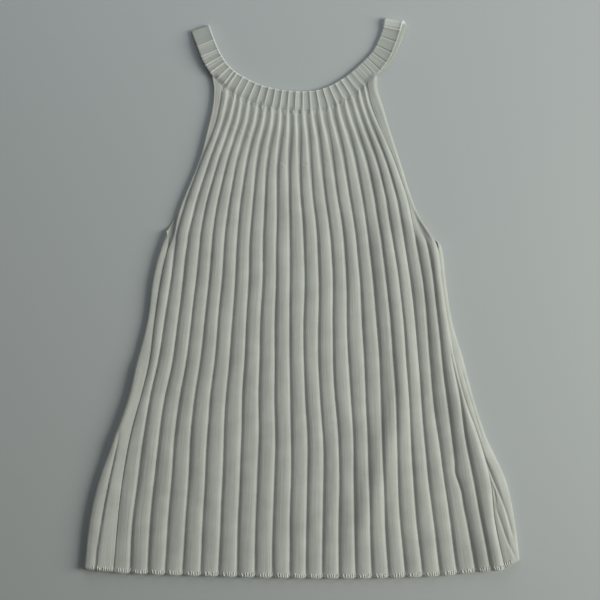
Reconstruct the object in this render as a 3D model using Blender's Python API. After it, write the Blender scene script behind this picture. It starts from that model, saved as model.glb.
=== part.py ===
"""Sleeveless tank top in wide rib knit, laid out flat on a surface.

It is sewn from three pieces: a front panel, a wider back panel whose sides come round the folded side edges
to meet the front, and one rib neckband that alone makes the two shoulder straps and folds over at their tops.
X runs across the garment, Y up it towards the neck and Z up off the surface. Sizes are in millimetres here,
and MM turns them into Blender's metres when a mesh is made.
"""
import math
from bisect import bisect_right
from collections import namedtuple

import bmesh
import bpy

for old in list(bpy.data.objects):
    bpy.data.objects.remove(old, do_unlink=True)

MM = 0.001

# Knit. Each piece is a wall of cloth; the front one is thrown into ribs.
SEAM_GAP = 0.3            # clear space between two pieces, edge to edge or one over the other
BACK_WALL = 2.0
FRONT_WALL = 1.6
BAND_WALL = 2.0
SIDE_FOLD_RADIUS = 1.9    # of the middle of the cloth where the back panel turns over at a side edge
FULL_FOLD_TURN = 0.33     # the side fold is whole once this much of the side has come round it
SHOULDER_FOLD_RADIUS = 2.6
BAND_LIFT = 0.6           # how much higher the neckband's upper layer lies than the front panel's lowest line
LIFT_LENGTH = 26.0        # the stretch of strap that rises to its fold

# Ribs of the front panel. The full-length ones run from the neckband to the hem.
FULL_RIBS = 19
SIDE_RIBS = 3             # on the right, between the last full rib and the side seam
RIB_PROFILE = (0.0, 0.92, 0.92)           # height of a rib's cross-section from one groove to the next
RIB_SLOPE = 0.3                           # greatest relief, as a share of the rib's width
RIB_RELIEF_LEAST = 1.6
RIB_RELIEF_GAIN = 0.065                   # extra relief for each millimetre of the rib's width

# Edge of the neck opening, from the left shoulder fold down and up to the right one, and the band's width.
NeckPoint = namedtuple("NeckPoint", "across up width")
NECKLINE = (
    NeckPoint(-101.7, 297.6, 20.8),
    NeckPoint(-97.0, 285.0, 20.8),
    NeckPoint(-88.5, 266.0, 21.2),
    NeckPoint(-77.5, 252.0, 21.4),
    NeckPoint(-64.0, 243.0, 21.4),
    NeckPoint(-44.5, 234.0, 21.4),
    NeckPoint(-22.0, 229.0, 21.4),
    NeckPoint(3.0, 227.5, 21.4),
    NeckPoint(22.0, 230.5, 21.4),
    NeckPoint(42.5, 240.5, 21.4),
    NeckPoint(64.5, 258.5, 21.2),
    NeckPoint(77.0, 272.0, 20.6),
    NeckPoint(83.5, 284.5, 20.0),
    NeckPoint(87.6, 295.5, 19.8),
    NeckPoint(89.6, 304.6, 20.4),
)
# Shares of the neckline's length at which the band meets the panels' shoulder points and the outer grooves
# of the full-length ribs. What lies between is the smooth strip beside an armhole.
LEFT_SHOULDER = 0.1675
FIRST_RIB_TOP = 0.225
LAST_RIB_TOP = 0.767
RIGHT_SHOULDER = 0.812
STRAP_STEPS = 6
FOLD_STEPS = 4
BAND_PARTS = (0.0, 0.5, 1.0)              # lines along the band, from the neck opening outward
BACK_BAND_SHIFT = 1.0     # the lower layer of the band lies this much further out than the upper one
RIGHT_STRAP_SHIFT = 4.8   # and this much at the right fold, where it shows beside the upper layer

# Sections of the body from the shoulders to the hem: the front panel's left edge, some of the grooves between
# its ribs, counted from the left, and its right edge, then the outline of the back panel, and how much of its
# left and right sides has come round the side edge (0 in the armhole, 1 where it reaches the seam).
Section = namedtuple("Section", "height front_left groove_1 groove_5 groove_9 groove_13 groove_17 groove_20 "
                                "groove_21 groove_22 front_right back_left back_right left_turn right_turn")
SECTIONS = (
    Section(244, -100.0, -86.0, -53.5, -20.0, 15.5, 50.5, 72.5, 78.7, 82.6, 84.0, -99.0, 83.0, 0, 0),
    Section(230, -97.6, -86.5, -55.0, -20.2, 16.3, 52.5, 74.0, 79.0, 82.0, 83.0, -96.6, 82.0, 0, 0),
    Section(210, -99.2, -91.4, -57.6, -20.4, 17.0, 55.8, 77.6, 83.0, 86.2, 87.6, -98.2, 86.6, 0, 0),
    Section(190, -103.5, -96.0, -60.3, -21.2, 18.2, 59.6, 85.2, 89.8, 92.5, 93.5, -102.5, 92.5, 0, 0),
    Section(150, -114.0, -111.5, -71.5, -25.8, 21.8, 71.8, 102.3, 104.3, 105.4, 106.0, -113.0, 105.0, 0, 0),
    Section(110, -130.5, -126.6, -79.2, -27.2, 26.0, 80.3, 116.3, 117.8, 118.6, 119.0, -129.5, 118.0, 0, 0),
    Section(90, -137.5, -132.8, -82.0, -27.7, 29.0, 83.0, 120.3, 124.2, 127.0, 128.0, -138.5, 126.5, 0, 0),
    Section(70, -141.5, -138.2, -84.2, -28.3, 31.4, 85.9, 123.8, 132.5, 138.6, 140.5, -147.4, 139.5, 0.3, 0.0),
    Section(60, -145.0, -139.2, -85.0, -28.4, 32.2, 87.2, 125.6, 137.0, 144.3, 146.5, -151.0, 150.8, 0.7, 0.6),
    Section(50, -149.5, -140.8, -85.7, -28.4, 32.7, 88.4, 127.6, 139.6, 147.5, 149.5, -154.2, 154.4, 1, 1),
    Section(20, -156.0, -144.3, -87.7, -28.3, 33.7, 92.3, 132.6, 144.5, 151.0, 153.0, -162.5, 157.6, 1, 1),
    Section(-25, -162.5, -151.2, -92.4, -29.3, 33.8, 97.3, 137.1, 149.0, 157.0, 159.5, -168.5, 164.5, 1, 1),
    Section(-70, -168.5, -158.2, -96.3, -29.9, 34.7, 100.9, 140.4, 153.6, 164.3, 168.0, -180.5, 177.5, 1, 1),
    Section(-110, -178.0, -167.2, -101.2, -30.3, 36.8, 102.9, 144.5, 158.8, 172.6, 178.0, -191.5, 188.0, 1, 1),
    Section(-155, -189.5, -174.7, -104.3, -29.5, 39.7, 104.1, 150.4, 165.3, 179.8, 194.0, -209.5, 203.0, 1, 1),
    Section(-200, -197.5, -181.0, -106.3, -30.3, 40.8, 105.5, 156.0, 171.3, 188.6, 206.0, -224.0, 223.5, 1, 1),
    Section(-245, -203.0, -186.3, -109.1, -31.9, 40.6, 107.9, 162.6, 181.0, 196.5, 211.0, -234.0, 233.5, 1, 1),
    Section(-300, -207.5, -189.0, -112.0, -32.5, 40.5, 113.5, 170.5, 190.5, 207.0, 222.5, -239.3, 240.3, 1, 1),
)
GROOVES_IN_SECTIONS = (1, 5, 9, 13, 17, 20)
SEAM_RISE_FROM = 115.0    # the front panel's sides start to rise at this height
SEAM_RISE_TO = 68.0       # and are up on the side folds at this one
LEFT_RISE_RIBS = 2.0      # on the left the rise dies out over this many ribs, on the right over the side ribs
HEM_HEIGHT = -300.0
SETTLE_LENGTH = 40.0      # below the neckband, the rib lines ease into the sections above over this length

# Lower edge, from the left corner to the right one.
HemPoint = namedtuple("HemPoint", "across up")
HEM = (
    HemPoint(-240, -297.5),
    HemPoint(-206, -301.0),
    HemPoint(-150, -303.5),
    HemPoint(-60, -306.0),
    HemPoint(40, -307.6),
    HemPoint(110, -306.4),
    HemPoint(155, -304.5),
    HemPoint(195, -300.0),
    HemPoint(223, -296.5),
    HemPoint(240, -288.5),
)

# The back panel's side, from its outer full-length groove (0) to the seam (1). In the armhole the points
# lie flat at these shares of the strip's width; lower down each has its own place round the side fold.
SIDE_SHARES = (0.0, 0.3, 0.52, 0.62, 0.71, 0.79, 0.86, 0.93, 1.0)
ARC_POINTS = (2, 6)       # the points at which the side fold starts and ends
LEFT_SIDE = ("groove_1", "back_left", "front_left", "left_turn")
RIGHT_SIDE = ("groove_20", "back_right", "front_right", "right_turn")

KNIT_COLOUR = (0.62, 0.64, 0.58, 1.0)
BAND_COLOUR = (0.60, 0.62, 0.56, 1.0)
KNIT_ROUGHNESS = 0.9


def blend(low, high, share):
    return low + (high - low) * share


def ease(share):
    """Turn 0 to 1 into a soft 0 to 1."""
    share = min(max(share, 0.0), 1.0)
    return share * share * (3.0 - 2.0 * share)


def smooth_value(knots, values, at):
    """Read a smooth curve through rising knots and their values; beyond the ends it keeps the end value."""
    if at <= knots[0]:
        return values[0]
    if at >= knots[-1]:
        return values[-1]
    here = bisect_right(knots, at) - 1

    def slope(index):
        before = max(index - 1, 0)
        after = min(index + 1, len(knots) - 1)
        return (values[after] - values[before]) / (knots[after] - knots[before])

    width = knots[here + 1] - knots[here]
    t = (at - knots[here]) / width
    start = (1 + 2 * t) * (1 - t) ** 2 * values[here] + t * (1 - t) ** 2 * width * slope(here)
    end = t * t * (3 - 2 * t) * values[here + 1] - t * t * (1 - t) * width * slope(here + 1)
    return start + end


SECTION_KNOTS = [-section.height for section in SECTIONS]
SECTION_CURVES = {name: [getattr(section, name) for section in SECTIONS] for name in Section._fields}
HEM_KNOTS = [point.across for point in HEM]
HEM_UPS = [point.up for point in HEM]


def section_value(name, height):
    return smooth_value(SECTION_KNOTS, SECTION_CURVES[name], -height)


def hem_height(across):
    return smooth_value(HEM_KNOTS, HEM_UPS, across)


def neck_lengths():
    """Length of the neckline up to each of its points."""
    lengths = [0.0]
    for before, after in zip(NECKLINE, NECKLINE[1:]):
        lengths.append(lengths[-1] + math.hypot(after.across - before.across, after.up - before.up))
    return lengths


NECK_LENGTH = neck_lengths()[-1]
NECK_KNOTS = [length / NECK_LENGTH for length in neck_lengths()]
NECK_ACROSS = [point.across for point in NECKLINE]
NECK_UP = [point.up for point in NECKLINE]
NECK_WIDTHS = [point.width for point in NECKLINE]


def neck_point(share):
    return smooth_value(NECK_KNOTS, NECK_ACROSS, share), smooth_value(NECK_KNOTS, NECK_UP, share)


def neck_outward(share):
    """Unit vector in the plane that points from the neck opening across the band."""
    step = 0.004
    x0, y0 = neck_point(max(share - step, 0.0))
    x1, y1 = neck_point(min(share + step, 1.0))
    length = math.hypot(x1 - x0, y1 - y0)
    return (y1 - y0) / length, -(x1 - x0) / length


def band_width(share):
    return smooth_value(NECK_KNOTS, NECK_WIDTHS, share)


def band_point(share, outward_distance):
    x, y = neck_point(share)
    nx, ny = neck_outward(share)
    return x + nx * outward_distance, y + ny * outward_distance


def back_shift(share):
    """How far the band's lower layer lies outside its upper one."""
    up_right_strap = max(share - RIGHT_SHOULDER, 0.0) / (1.0 - RIGHT_SHOULDER)
    return blend(BACK_BAND_SHIFT, RIGHT_STRAP_SHIFT, math.sin(up_right_strap * math.pi / 2))


def body_shares():
    """Shares of the neckline where the front panel's rib boundaries meet the band, left to right."""
    full = [blend(FIRST_RIB_TOP, LAST_RIB_TOP, index / FULL_RIBS) for index in range(FULL_RIBS + 1)]
    side = [blend(LAST_RIB_TOP, RIGHT_SHOULDER, index / SIDE_RIBS) for index in range(1, SIDE_RIBS + 1)]
    return [LEFT_SHOULDER] + full + side


BODY_SHARES = body_shares()


def full_rib_lines(height):
    """Places across of the grooves of the full-length ribs at a height, left to right."""
    known = [section_value(f"groove_{groove}", height) for groove in GROOVES_IN_SECTIONS]
    return [smooth_value(GROOVES_IN_SECTIONS, known, groove) for groove in range(1, FULL_RIBS + 2)]


def front_lines(height):
    """Places across of every rib boundary of the front panel at a height, left to right."""
    side = [section_value(name, height) for name in ("groove_21", "groove_22", "front_right")]
    return [section_value("front_left", height)] + full_rib_lines(height) + side


def settled(across, height, top):
    """Move a line's place so that it starts at its point on the band and eases into the sections."""
    place = across(height)
    offset = top[0] - across(top[1])
    return place + offset * (1.0 - ease((top[1] - height) / SETTLE_LENGTH))


def row_shares():
    """Share of the way from the neckband to the hem of each row of points."""
    top = SECTIONS[0].height
    return [(top - section.height) / (top - SECTIONS[-1].height) for section in SECTIONS]


def closed_wall(name, outside, inside, colour, ring=False):
    """Make one closed solid of two matching grids of points, one on each face of the cloth."""
    mesh = bpy.data.meshes.new(name)
    made = bmesh.new()
    grids = [[[made.verts.new([c * MM for c in point]) for point in row] for row in grid]
             for grid in (outside, inside)]
    rows = len(outside)
    columns = len(outside[0])
    for row in range(rows if ring else rows - 1):
        after = (row + 1) % rows
        for column in range(columns - 1):
            for grid in grids:
                made.faces.new((grid[row][column], grid[after][column],
                                grid[after][column + 1], grid[row][column + 1]))
        for column in (0, columns - 1):
            made.faces.new((grids[0][row][column], grids[0][after][column],
                            grids[1][after][column], grids[1][row][column]))
    if not ring:
        for row in (0, rows - 1):
            for column in range(columns - 1):
                made.faces.new((grids[0][row][column], grids[0][row][column + 1],
                                grids[1][row][column + 1], grids[1][row][column]))
    bmesh.ops.recalc_face_normals(made, faces=made.faces)
    if made.calc_volume(signed=True) < 0:
        bmesh.ops.reverse_faces(made, faces=made.faces)
    made.to_mesh(mesh)
    made.free()
    piece = bpy.data.objects.new(name, mesh)
    bpy.context.scene.collection.objects.link(piece)
    mesh.materials.append(knit_material(name, colour))
    return piece


def knit_material(name, colour):
    material = bpy.data.materials.new(name + "_knit")
    material.use_nodes = True
    shader = material.node_tree.nodes["Principled BSDF"]
    shader.inputs["Base Color"].default_value = colour
    shader.inputs["Roughness"].default_value = KNIT_ROUGHNESS
    shader.inputs["Metallic"].default_value = 0.0
    return material


def front_rise(line_index, height):
    """Rise of the front panel towards its side seams, where it meets the back panel over the side fold."""
    last = FULL_RIBS + 1 + SIDE_RIBS
    share_in = min(line_index / LEFT_RISE_RIBS, (last - line_index) / SIDE_RIBS)
    seam_rise = BACK_WALL / 2 + 2 * SIDE_FOLD_RADIUS - (BACK_WALL + SEAM_GAP + FRONT_WALL / 2)
    risen = ease((SEAM_RISE_FROM - height) / (SEAM_RISE_FROM - SEAM_RISE_TO))
    return seam_rise * (1.0 - ease(share_in)) * risen


def rib_relief(width):
    """Height of a rib that is so wide."""
    return min(RIB_SLOPE * width, RIB_RELIEF_LEAST + RIB_RELIEF_GAIN * width)


def make_front_panel():
    """The front: a wall that rises and falls over its ribs, its lowest lines just clear of the back."""
    steps = len(RIB_PROFILE)
    last_line = len(BODY_SHARES) - 1
    upper = []
    lower = []
    for share_down in row_shares():
        upper.append([])
        lower.append([])
        for step in range(last_line * steps + 1):
            line = min(step // steps, last_line - 1)
            within = step / steps - line

            def across(height, line=line, within=within):
                places = front_lines(height)
                return blend(places[line], places[line + 1], within)

            share = blend(BODY_SHARES[line], BODY_SHARES[line + 1], within)
            top = band_point(share, band_width(share) + SEAM_GAP)
            height = blend(top[1], hem_height(across(HEM_HEIGHT)), share_down)
            places = front_lines(height)
            z = BACK_WALL + SEAM_GAP + front_rise(step / steps, height)
            z += rib_relief(places[line + 1] - places[line]) * RIB_PROFILE[step % steps]
            x = settled(across, height, top)
            lower[-1].append((x, height, z))
            upper[-1].append((x, height, z + FRONT_WALL))
    return closed_wall("front_panel", upper, lower, KNIT_COLOUR)


def follow_fold(along, start):
    """Place outward, rise and turn of the cloth's middle: flat up to start, then over the side fold."""
    arc = math.pi * SIDE_FOLD_RADIUS
    if along <= start:
        return along, 0.0, 0.0
    if along <= start + arc:
        turn = (along - start) / SIDE_FOLD_RADIUS
        return start + SIDE_FOLD_RADIUS * math.sin(turn), SIDE_FOLD_RADIUS * (1.0 - math.cos(turn)), turn
    return start - (along - start - arc), 2.0 * SIDE_FOLD_RADIUS, math.pi


def side_point(index, side, height):
    """A point of the back panel's side: place across, rise, and the cloth's outward direction in X and Z."""
    names = LEFT_SIDE if side < 0 else RIGHT_SIDE
    groove, outline, seam, turned = (section_value(name, height) for name in names)
    flat = abs(outline - groove)
    fold_reach = SIDE_FOLD_RADIUS + BACK_WALL / 2
    start = flat - min(turned / FULL_FOLD_TURN, 1.0) * fold_reach
    first, last = ARC_POINTS
    arc = math.pi * SIDE_FOLD_RADIUS
    over = abs(outline - seam) - fold_reach - SEAM_GAP
    if index <= first:
        folded = start * index / first
    elif index <= last:
        folded = start + arc * (index - first) / (last - first)
    else:
        folded = start + arc + over * (index - last) / (len(SIDE_SHARES) - 1 - last)
    place, rise, turn = follow_fold(blend(SIDE_SHARES[index] * flat, folded, turned), start)
    return groove + side * place, rise, (side * math.sin(turn), -math.cos(turn))


def back_columns():
    """Each column of the back panel: its side, its index there and its share of the neckline at the top."""
    left_top, first_top, last_top, right_top = (
        BODY_SHARES[0], BODY_SHARES[1], BODY_SHARES[FULL_RIBS + 1], BODY_SHARES[-1])
    turned = range(1, len(SIDE_SHARES))
    columns = [(-1, index, blend(first_top, left_top, SIDE_SHARES[index])) for index in reversed(turned)]
    columns += [(0, index, BODY_SHARES[index + 1]) for index in range(FULL_RIBS + 1)]
    columns += [(1, index, blend(last_top, right_top, SIDE_SHARES[index])) for index in turned]
    return columns


def make_back_panel():
    """The back: flat where it rests, with its two sides turned up over the side edges to the seams."""
    half = BACK_WALL / 2
    outside = []
    inside = []
    for share_down in row_shares():
        outside.append([])
        inside.append([])
        for side, index, share in back_columns():

            def at_height(height, side=side, index=index):
                if side == 0:
                    return full_rib_lines(height)[index], 0.0, (0.0, -1.0)
                return side_point(index, side, height)

            def across(height, at_height=at_height):
                return at_height(height)[0]

            top = band_point(share, band_width(share) + SEAM_GAP + back_shift(share))
            height = blend(top[1], hem_height(across(HEM_HEIGHT)), share_down)
            x = settled(across, height, top)
            rise, (out_x, out_z) = at_height(height)[1:]
            outside[-1].append((x + out_x * half, height, half + rise + out_z * half))
            inside[-1].append((x - out_x * half, height, half + rise - out_z * half))
    return closed_wall("back_panel", outside, inside, KNIT_COLOUR)


def band_shares():
    """Shares of the neckline at which the band has a section, from the left fold to the right one."""
    left = [LEFT_SHOULDER * step / STRAP_STEPS for step in range(STRAP_STEPS)]
    right = [blend(RIGHT_SHOULDER, 1.0, step / STRAP_STEPS) for step in range(1, STRAP_STEPS + 1)]
    return left + BODY_SHARES + right


BandSection = namedtuple("BandSection", "share shift rise beyond turn")


def fold_sections(share):
    """Sections of the band round a shoulder fold, from its upper layer down to its lower one."""
    sections = []
    for step in range(1, FOLD_STEPS):
        turn = math.pi * step / FOLD_STEPS
        shift = back_shift(share) * (1.0 - math.cos(turn)) / 2
        rise = SHOULDER_FOLD_RADIUS * (1.0 + math.cos(turn))
        sections.append(BandSection(share, shift, rise, SHOULDER_FOLD_RADIUS * math.sin(turn), turn))
    return sections


def band_sections():
    """Every section of the band: along its upper layer, over the right fold, back below, up the left."""
    low_rise = BACK_WALL + SEAM_GAP + BAND_LIFT
    upper = []
    for share in band_shares():
        from_fold = min(share, 1.0 - share) * NECK_LENGTH
        rise = blend(2 * SHOULDER_FOLD_RADIUS, low_rise, ease(from_fold / LIFT_LENGTH))
        upper.append(BandSection(share, 0.0, rise, 0.0, 0.0))
    lower = [BandSection(share, back_shift(share), 0.0, 0.0, math.pi) for share in reversed(band_shares())]
    return upper + fold_sections(1.0) + lower + fold_sections(0.0)[::-1]


def make_neckband():
    """The band: one closed loop of cloth, its front half over its back half, folded at both shoulders."""
    half = BAND_WALL / 2
    outside = []
    inside = []
    for section in band_sections():
        nx, ny = neck_outward(section.share)
        end = 1.0 if section.share > 0.5 else -1.0
        up_x, up_y = -ny * end, nx * end
        wall = math.sin(section.turn) * half
        outside.append([])
        inside.append([])
        for part in BAND_PARTS:
            x, y = band_point(section.share, band_width(section.share) * part + section.shift)
            z = half + section.rise
            wall_z = math.cos(section.turn) * half
            reach = section.beyond + wall
            outside[-1].append((x + up_x * reach, y + up_y * reach, z + wall_z))
            reach = section.beyond - wall
            inside[-1].append((x + up_x * reach, y + up_y * reach, z - wall_z))
    return closed_wall("neckband", outside, inside, BAND_COLOUR, ring=True)


make_back_panel()
make_front_panel()
make_neckband()
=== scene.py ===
import math

import bpy
import numpy as np
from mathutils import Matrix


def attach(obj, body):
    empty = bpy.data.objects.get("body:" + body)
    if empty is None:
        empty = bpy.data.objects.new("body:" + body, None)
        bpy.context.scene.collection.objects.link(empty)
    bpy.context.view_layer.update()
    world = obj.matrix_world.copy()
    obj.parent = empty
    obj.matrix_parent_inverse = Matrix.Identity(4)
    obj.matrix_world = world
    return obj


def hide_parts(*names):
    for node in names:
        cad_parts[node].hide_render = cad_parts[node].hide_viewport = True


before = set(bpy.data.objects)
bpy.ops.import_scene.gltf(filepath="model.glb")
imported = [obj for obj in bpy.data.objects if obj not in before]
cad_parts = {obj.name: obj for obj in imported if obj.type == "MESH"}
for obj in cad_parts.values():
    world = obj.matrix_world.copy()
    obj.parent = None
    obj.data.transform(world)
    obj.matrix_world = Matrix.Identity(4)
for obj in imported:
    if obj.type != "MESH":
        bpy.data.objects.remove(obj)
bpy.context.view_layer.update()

# ------------------------------
# Back panel: one piece of wide-rib cotton knit, shaped on the machine. It lies ribs down, pressed shallow
# by its own weight. Its two sides come up round the folded side edges and lie on top, linked to the front.
MM = 0.001                # everything below is in millimetres, on the part's own axes
BACK_WALL = 2.0
SEAM_GAP = 0.3
LEFT_FOLD_RADII = (1.6, 2.0)  # of the middle of the cloth as it turns over: high up, low down
RIGHT_FOLD_RADIUS = 2.4
FULL_FOLD_TURN = 0.33     # the side fold is whole once this much of the side has come round it
LEFT_SINKS = (0.22, 0.5)  # share of its height that the left side loses up to the seam: high up, low down
RIGHT_SINK = 0.68         # and the right side up to its edge, within a width of it
RIGHT_SINK_WIDTH = 10.0
HEM_HEIGHT = -300.0
FULL_RIBS = 19            # ribs that run the whole way from the neckband to the hem
SETTLE_LENGTH = 40.0      # below the neckband the rib lines ease into the sections over this length

# The body's lines at each height up the garment: the front's left edge, some of the grooves between its
# ribs, counted from the left, its right edge, the back's outline, and the share by which the back's sides
# have come round.
SECTION_COLUMNS = ("height", "front_left", "groove_1", "groove_5", "groove_9", "groove_13", "groove_17",
                   "groove_20", "groove_21", "groove_22", "front_right", "back_left", "back_right",
                   "left_turn", "right_turn")
SECTIONS = np.array((
    (244, -100.0, -87.5, -53.5, -20.0, 15.5, 50.5, 72.5, 78.7, 82.6, 84.6, -99.0, 83.0, 0, 0),
    (230, -97.6, -89.3, -55.0, -20.2, 16.3, 52.5, 74.0, 79.2, 82.4, 83.8, -96.6, 82.0, 0, 0),
    (210, -99.2, -92.0, -57.6, -20.4, 17.0, 55.8, 77.6, 83.4, 87.0, 88.6, -98.2, 86.6, 0, 0),
    (190, -103.5, -96.0, -60.3, -21.2, 18.2, 59.6, 85.2, 90.2, 93.2, 94.5, -102.5, 92.5, 0, 0),
    (150, -114.0, -111.5, -71.5, -25.8, 21.8, 71.8, 102.3, 104.9, 106.6, 107.4, -113.0, 105.0, 0, 0),
    (110, -130.5, -126.6, -79.2, -27.2, 26.0, 80.3, 116.3, 118.0, 119.3, 120.0, -129.5, 118.0, 0, 0),
    (90, -137.5, -132.8, -82.0, -27.7, 29.0, 83.0, 120.3, 124.2, 127.0, 128.0, -140.0, 126.5, 0, 0),
    (70, -141.5, -138.2, -84.2, -28.3, 31.4, 85.9, 123.8, 132.5, 138.6, 140.5, -149.6, 139.5, 0.3, 0),
    (60, -145.0, -139.2, -85.0, -28.4, 32.2, 87.2, 125.6, 137.0, 144.3, 146.5, -153.2, 150.8, 0.7, 0.6),
    (50, -149.5, -140.8, -85.7, -28.4, 32.7, 88.4, 127.6, 139.6, 147.5, 149.5, -156.6, 154.4, 1, 1),
    (20, -156.0, -144.3, -87.7, -28.3, 33.7, 92.3, 132.6, 144.5, 151.0, 153.0, -164.0, 157.6, 1, 1),
    (-25, -162.5, -151.2, -92.4, -29.3, 33.8, 97.3, 137.1, 149.0, 157.0, 159.5, -169.8, 164.5, 1, 1),
    (-70, -168.5, -158.2, -96.3, -29.9, 34.7, 100.9, 140.4, 153.6, 164.3, 168.0, -181.2, 177.5, 1, 1),
    (-110, -178.0, -167.2, -101.2, -30.3, 36.8, 102.9, 144.5, 158.8, 172.6, 178.0, -190.2, 188.0, 1, 1),
    (-155, -189.5, -174.7, -104.3, -29.5, 39.7, 104.1, 150.4, 165.3, 179.8, 194.0, -206.3, 203.0, 1, 1),
    (-200, -197.5, -181.0, -106.3, -30.3, 40.8, 105.5, 156.0, 171.3, 188.6, 206.0, -222.9, 223.5, 1, 1),
    (-245, -203.0, -186.3, -109.1, -31.9, 40.6, 107.9, 162.6, 181.0, 196.5, 211.0, -233.4, 233.5, 1, 1),
    (-300, -207.5, -189.0, -112.0, -32.5, 40.5, 113.5, 170.5, 190.5, 207.0, 222.5, -239.3, 240.3, 1, 1),
))
GROOVES_IN_SECTIONS = np.array((1, 5, 9, 13, 17, 20))
# Lower edge: place across and height, from the left corner to the right one.
HEM = np.array(((-240, -297.5), (-206, -301.0), (-150, -303.5), (-60, -306.0), (40, -307.6),
                (110, -306.4), (155, -304.5), (195, -300.0), (223, -296.5), (240, -288.5)))
# Edge of the neck opening: place across, height and the neckband's width there, from the left shoulder
# fold down and up to the right one.
NECKLINE = np.array((
    (-101.7, 297.6, 20.8), (-97.0, 285.0, 20.8), (-88.5, 266.0, 21.2), (-77.5, 252.0, 21.4),
    (-64.0, 243.0, 21.4), (-44.5, 234.0, 21.4), (-22.0, 229.0, 21.4), (3.0, 227.5, 21.4),
    (22.0, 230.5, 21.4), (42.5, 240.5, 21.4), (64.5, 258.5, 21.2), (77.0, 272.0, 20.6),
    (83.5, 284.5, 20.0), (87.6, 295.5, 19.8), (89.6, 304.6, 20.4)))
# Shares of the neckline's length at which the shoulder points and the outer full-length grooves meet it.
LEFT_SHOULDER, FIRST_RIB_TOP, LAST_RIB_TOP, RIGHT_SHOULDER = 0.1675, 0.225, 0.767, 0.812
BACK_BAND_SHIFT = 1.0     # the neckband's lower layer lies this much further out than the upper one
RIGHT_STRAP_SHIFT = 4.8   # and this much at the right fold
# The back's side from its outer full-length groove (0) to the seam (1) while it still lies flat, and the
# points of that row at which the side fold starts and ends further down.
SIDE_SHARES = (0.0, 0.3, 0.52, 0.62, 0.71, 0.79, 0.86, 0.93, 1.0)
FOLD_STARTS, FOLD_ENDS = 2, 6
SEAM_AT = len(SIDE_SHARES) - 1
SIDE_LINES = {-1: ("groove_1", "back_left", "front_left", "left_turn"),
              1: ("groove_20", "back_right", "front_right", "right_turn")}


def blend(low, high, share):
    return low + (high - low) * share


def ease(share):
    """Turn 0 to 1 into a soft 0 to 1."""
    share = np.clip(share, 0.0, 1.0)
    return share * share * (3.0 - 2.0 * share)


def past(at, start, length):
    """Share from 0 to 1 of a change that starts at a place and is whole a length past it."""
    return ease((at - start) / length)


def going_down(height, start, length):
    """The same for a change that starts at a height and is whole a length below it."""
    return ease((start - height) / length)


def bump(at, size, place, reach):
    """A soft bump, or a dent where its size is negative: it is nearly gone at twice its reach."""
    return size * np.exp(-((at - place) / reach) ** 2)


def curve(knots, values, at):
    """Read a smooth curve through rising knots and their values; beyond its ends it stays level."""
    at = np.clip(at, knots[0], knots[-1])
    here = np.clip(np.searchsorted(knots, at, side="right") - 1, 0, len(knots) - 2)
    order = np.arange(len(knots))
    before = np.maximum(order - 1, 0)
    after = np.minimum(order + 1, len(knots) - 1)
    slopes = (values[after] - values[before]) / (knots[after] - knots[before])
    width = knots[here + 1] - knots[here]
    t = (at - knots[here]) / width
    start = (1 + 2 * t) * (1 - t) ** 2 * values[here] + t * (1 - t) ** 2 * width * slopes[here]
    end = t * t * (3 - 2 * t) * values[here + 1] - t * t * (1 - t) * width * slopes[here + 1]
    return start + end


def section(name, height):
    return curve(-SECTIONS[:, 0], SECTIONS[:, SECTION_COLUMNS.index(name)], -height)


def follow(places, height, starting, ending):
    """Place across of a route at a height, and its share there, as it starts and ends over two lengths."""
    across, up = np.array(places).T
    return curve(-up, across, -height), going_down(height, up[0], starting) * past(height, up[-1], ending)


def hem_height(across):
    return curve(*HEM.T, across)


neck_steps = np.hypot(*np.diff(NECKLINE[:, :2], axis=0).T)
neck_knots = np.concatenate([[0.0], np.cumsum(neck_steps)]) / neck_steps.sum()


def neck_point(share):
    return curve(neck_knots, NECKLINE[:, 0], share), curve(neck_knots, NECKLINE[:, 1], share)


def neck_outward(share):
    """Unit vector in the plane that points from the neck opening across the band."""
    x0, y0 = neck_point(np.maximum(share - 0.004, 0.0))
    x1, y1 = neck_point(np.minimum(share + 0.004, 1.0))
    length = np.hypot(x1 - x0, y1 - y0)
    return (y1 - y0) / length, -(x1 - x0) / length


def band_width(share):
    return curve(neck_knots, NECKLINE[:, 2], share)


def band_point(share, outward_distance):
    x, y = neck_point(share)
    nx, ny = neck_outward(share)
    return x + nx * outward_distance, y + ny * outward_distance


def back_shift(share):
    """How far the neckband's lower layer lies outside its upper one."""
    up_right_strap = np.maximum(share - RIGHT_SHOULDER, 0.0) / (1.0 - RIGHT_SHOULDER)
    return blend(BACK_BAND_SHIFT, RIGHT_STRAP_SHIFT, np.sin(up_right_strap * math.pi / 2))


all_grooves = np.array([curve(GROOVES_IN_SECTIONS, places, np.arange(1.0, FULL_RIBS + 2.0))
                        for places in SECTIONS[:, 2:8]])
body_lines = np.concatenate([SECTIONS[:, 1:2], all_grooves, SECTIONS[:, 8:11]], axis=1)


def body_line(line, height):
    """Place across of a rib boundary: 0 is the front's left edge, 1 to 20 the grooves of the full-length
    ribs, 21 and 22 those of the side ribs and 23 the right edge. A fraction lies between two of them."""
    whole = min(int(line), body_lines.shape[1] - 2)
    left, right = (curve(-SECTIONS[:, 0], body_lines[:, at], -height) for at in (whole, whole + 1))
    return blend(left, right, line - whole)


def rib_shape(u, crest, left, right):
    """Height from 0 to 1 of a rib's cross-section. u runs from groove to groove, crest is where the rib
    is highest, and the larger left and right are, the flatter its top and the steeper that side."""
    toward_left = np.clip((crest - u) / crest, 0.0, 1.0) ** left
    toward_right = np.clip((u - crest) / (1.0 - crest), 0.0, 1.0) ** right
    return 1.0 - toward_left - toward_right


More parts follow.
